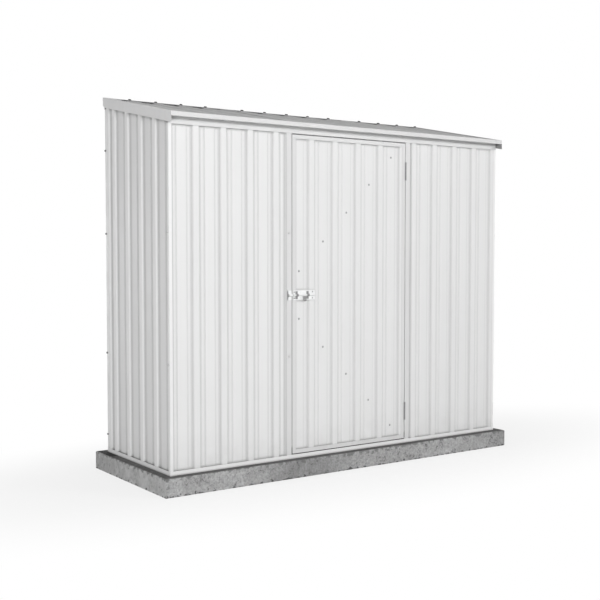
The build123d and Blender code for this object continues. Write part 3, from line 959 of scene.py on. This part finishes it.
def roof_sheets():
    """The roof's three sheets, lying up the slope, the middle one on top."""
    strips = {
        "left": (roof_edge_strip, under_strip),
        "middle": (lap_strip, lap_strip),
        "right": (under_strip, roof_edge_strip),
    }
    deep = sheet_sizes["Rib Height"] + sheet_sizes["Thickness"]
    pieces = []
    for side, edges in strips.items():
        node = "roof_sheet_" + side
        low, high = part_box(node)
        tall = (high.y - low.y - deep * sin(roof_slope)) / cos(roof_slope)
        sizes = even_sizes(high.x - low.x, tall, left_end + lapped_ribs[side] - low.x, *edges)
        corner = Vector((low.x, low.y, high.z - tall * sin(roof_slope)))
        piece = stand_sheet(node, "shed", to_right, into_roof, corner, sizes, roof_paint)
        pieces.append(piece)
    return pieces


door_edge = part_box("door_stile_latch")[0].x
doorway_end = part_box("door_jamb_right")[0].x
sheets = [
    front_sheet("front_wall_left", "shed", left_end + front_left_rib, strong_fold_shade_paint, jamb_strip),
    front_sheet("front_wall_right", "shed", doorway_end + front_right_rib, front_paint),
    front_sheet("door_panel", "door", door_edge + door_rib, front_paint),
    *side_sheets(),
    *back_sheets(),
    *roof_sheets(),
]
print("ribbed sheets:", len(sheets), "with", sum(len(sheet.data.polygons) for sheet in sheets), "faces")

# %% [markdown]
# Screws and rivets
#
# Screws hold the roof at every rib along its high edge and the corner trims at set heights, and
# rivets hold the door's braces, one in each pan. They could be copied by hand, but Geometry Nodes puts
# one head on every point of a small mesh, turned to face out by an attribute, so a new row is only
# new points. Each tree names its sizes as inputs, and ends by making its copies real.

# %% Trees for screws and rivets
screw_sizes = {
    "Washer Radius": 0.0056,
    "Washer Height": 0.0012,
    "Head Radius": 0.0046,
    "Head Height": 0.0040,
    "Crown Height": 0.0006,
}
rivet_sizes = {"Head Radius": 0.0050, "Head Height": 0.0018}
washer_rim_share = 0.9
crown_rim_share = 0.86
screw_crease = radians(20)
rivet_crease = radians(80)
washer_sides = 20
hexagon_sides = 6
rivet_segments = 20
rivet_rings = 12
rivet_cut = -0.0001
screw_seed = 11
rivet_seed = 5


def lifted(tree, geometry, height):
    """The geometry moved up by a height."""
    up = add_node(tree, "ShaderNodeCombineXYZ", {"Z": height}).outputs[0]
    return add_node(tree, "GeometryNodeTransform", {"Geometry": geometry, "Translation": up}).outputs[0]


def tapered(tree, sides, bottom, top, height):
    """A short prism or cone with so many sides, standing on its base."""
    inputs = {"Vertices": sides, "Radius Bottom": bottom, "Radius Top": top, "Depth": height}
    return add_node(tree, "GeometryNodeMeshCone", inputs).outputs["Mesh"]


def joined(tree, *pieces):
    """Several geometries as one."""
    both = add_node(tree, "GeometryNodeJoinGeometry")
    for piece in pieces:
        tree.links.new(piece, both.inputs[0])
    return both.outputs[0]


def set_on_points(tree, points, head, seed):
    """A copy of the head on every point, facing as the point says and spun at random."""
    facing = add_node(tree, "GeometryNodeInputNamedAttribute", {"Name": "facing"}, data_type="FLOAT_VECTOR")
    aligned = add_node(tree, "FunctionNodeAlignRotationToVector", {"Vector": facing.outputs[0]}, axis="Z")
    whole_turn = {"Min": (0, 0, 0), "Max": (0, 0, 2 * pi), "Seed": seed}
    spin = add_node(tree, "FunctionNodeRandomValue", whole_turn, data_type="FLOAT_VECTOR")
    turns = {"Rotation": aligned.outputs[0], "Rotate By": spin.outputs[0]}
    turned = add_node(tree, "FunctionNodeRotateRotation", turns, rotation_space="LOCAL")
    heads = {"Points": points, "Instance": head, "Rotation": turned.outputs[0]}
    return add_node(tree, "GeometryNodeInstanceOnPoints", heads).outputs[0]


def screw_tree():
    """A hexagon head with a chamfered crown on a flanged washer."""
    tree, size = sized_tree("hexagon_screw", screw_sizes)
    washer_rim = worked(tree, "MULTIPLY", size["Washer Radius"], washer_rim_share)
    washer = tapered(tree, washer_sides, size["Washer Radius"], washer_rim, size["Washer Height"])
    head = tapered(tree, hexagon_sides, size["Head Radius"], size["Head Radius"], size["Head Height"])
    crown_rim = worked(tree, "MULTIPLY", size["Head Radius"], crown_rim_share)
    crown = tapered(tree, hexagon_sides, size["Head Radius"], crown_rim, size["Crown Height"])
    crowned = joined(tree, head, lifted(tree, crown, size["Head Height"]))
    whole = joined(tree, washer, lifted(tree, crowned, size["Washer Height"]))
    copies = set_on_points(tree, size["Points"], whole, screw_seed)
    finished(tree, copies, size["Finish"], screw_crease)
    return tree


def rivet_tree():
    """A low dome, the upper half of a flattened ball."""
    tree, size = sized_tree("dome_rivet", rivet_sizes)
    round_sizes = {"Segments": rivet_segments, "Rings": rivet_rings, "Radius": size["Head Radius"]}
    ball = add_node(tree, "GeometryNodeMeshUVSphere", round_sizes).outputs["Mesh"]
    point = parts(tree, add_node(tree, "GeometryNodeInputPosition").outputs[0])
    below = worked(tree, "LESS_THAN", point["Z"], rivet_cut)
    dome = add_node(tree, "GeometryNodeDeleteGeometry", {"Geometry": ball, "Selection": below})
    flat = worked(tree, "DIVIDE", size["Head Height"], size["Head Radius"])
    scale = add_node(tree, "ShaderNodeCombineXYZ", {"X": 1.0, "Y": 1.0, "Z": flat}).outputs[0]
    head = add_node(tree, "GeometryNodeTransform", {"Geometry": dome.outputs[0], "Scale": scale})
    copies = set_on_points(tree, size["Points"], head.outputs[0], rivet_seed)
    finished(tree, copies, size["Finish"], rivet_crease)
    return tree


def fastened(name, tree, sizes, places, body, finish=fastener_steel):
    """One plain mesh of the tree's heads at (place, facing) pairs, riding on a body."""
    points = bpy.data.meshes.new(name + "_points")
    points.from_pydata([place for place, _ in places], [], [])
    facing = points.attributes.new("facing", "FLOAT_VECTOR", "POINT")
    facing.data.foreach_set("vector", [part for _, way in places for part in way])
    mesh = grown_mesh(name, tree, points, {**sizes, "Finish": finish})
    piece = new_object(name, mesh)
    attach(piece, body)
    print(name + ":", len(places), "heads,", len(mesh.polygons), "faces")
    return piece


hexagon_screw = screw_tree()
dome_rivet = rivet_tree()
print("fastener trees:", hexagon_screw.name, "and", dome_rivet.name)

# %% [markdown]
# Where the fasteners go
#
# Every place is counted from the solids. The roof's screws stand on the crests of its ribs just below
# the high edge and face square to the slope, and they are larger and darker, with wide washers against
# rain. The screws on the rear corners are bare steel. Those on the side legs of the front corners and on
# the latch side's jamb have painted heads.

# %% Fasteners on the shed
roof_screw_sizes = {**screw_sizes, "Washer Radius": 0.0110, "Head Radius": 0.0085, "Head Height": 0.0045}
ribs_per_sheet = {"left": 4, "middle": 5, "right": 4}
roof_screw_setback = 0.030
trim_heights = (0.101, 0.555, 1.213, 1.668)
middle_heights = trim_heights[1:3]
trim_screw_inset = 0.009
outward, leftward = -to_back, -to_right

rear_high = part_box("rear_flashing")[1]
roof_screw_height = rear_high.z - roof_screw_setback * tan(roof_slope)
roof_places = []
for side, count in ribs_per_sheet.items():
    for number in range(count):
        along = left_end + lapped_ribs[side] + number * rib_pitch
        place = Vector((along, rear_high.y - roof_screw_setback, roof_screw_height))
        roof_places.append((place, -into_roof))
fastened("roof_screws", hexagon_screw, roof_screw_sizes, roof_places, "shed", weathered_steel)

trim_places = []
painted_places = []
for end, way in ((left_end, leftward), (right_end, to_right)):
    for height in trim_heights:
        trim_places.append((Vector((end, back_face - trim_screw_inset, slab_top + height)), way))
    for height in middle_heights:
        painted_places.append((Vector((end, front_face + trim_screw_inset, slab_top + height)), way))
jamb_low, jamb_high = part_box("door_jamb_left")
for height in middle_heights:
    place = Vector(((jamb_low.x + jamb_high.x) / 2, front_face, slab_top + height))
    painted_places.append((place, outward))
fastened("trim_screws", hexagon_screw, screw_sizes, trim_places, "shed")
fastened("painted_screws", hexagon_screw, screw_sizes, painted_places, "shed", head_paint)

# %% [markdown]
# Rivets and screws on the door
#
# Each brace has a rivet in every pan that it crosses, with its tail behind, so the rivets climb and fall
# from the latch side with the ribs' pitch. Four small screws hold the pad bolt. All of these ride on the
# door, so that they swing with it.

# %% Fasteners on the door
brace_rise = 0.1285
pans = 5
first_pan = 0.0475
swage_face = 0.0073
brace_back = 0.0124
near_screw_inset = 0.005
far_screw_inset = 0.015
plate_screw_rise = 0.0165
plate_face = 0.0015

leaf_low, leaf_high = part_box("door_stile_latch")
leaf_middle = (leaf_low.z + leaf_high.z) / 2
rivet_places = []
for way in (1, -1):
    for number in range(pans):
        along = leaf_low.x + first_pan + number * rib_pitch
        height = leaf_middle + way * (brace_rise + number * rib_pitch)
        rivet_places.append((Vector((along, front_face + swage_face, height)), outward))
        rivet_places.append((Vector((along, front_face + brace_back, height)), to_back))
fastened("door_rivets", dome_rivet, rivet_sizes, rivet_places, "door", dulled_zinc)

plate_screw_sizes = {"Head Radius": 0.0034, "Head Height": 0.0012}
screw_places = []
for along in (plate_low.x + near_screw_inset, plate_high.x - far_screw_inset):
    for rise in (-plate_screw_rise, plate_screw_rise):
        screw_places.append((Vector((along, plate_high.y - plate_face, leaf_middle + rise)), outward))
fastened("bolt_plate_screws", dome_rivet, plate_screw_sizes, screw_places, "door")
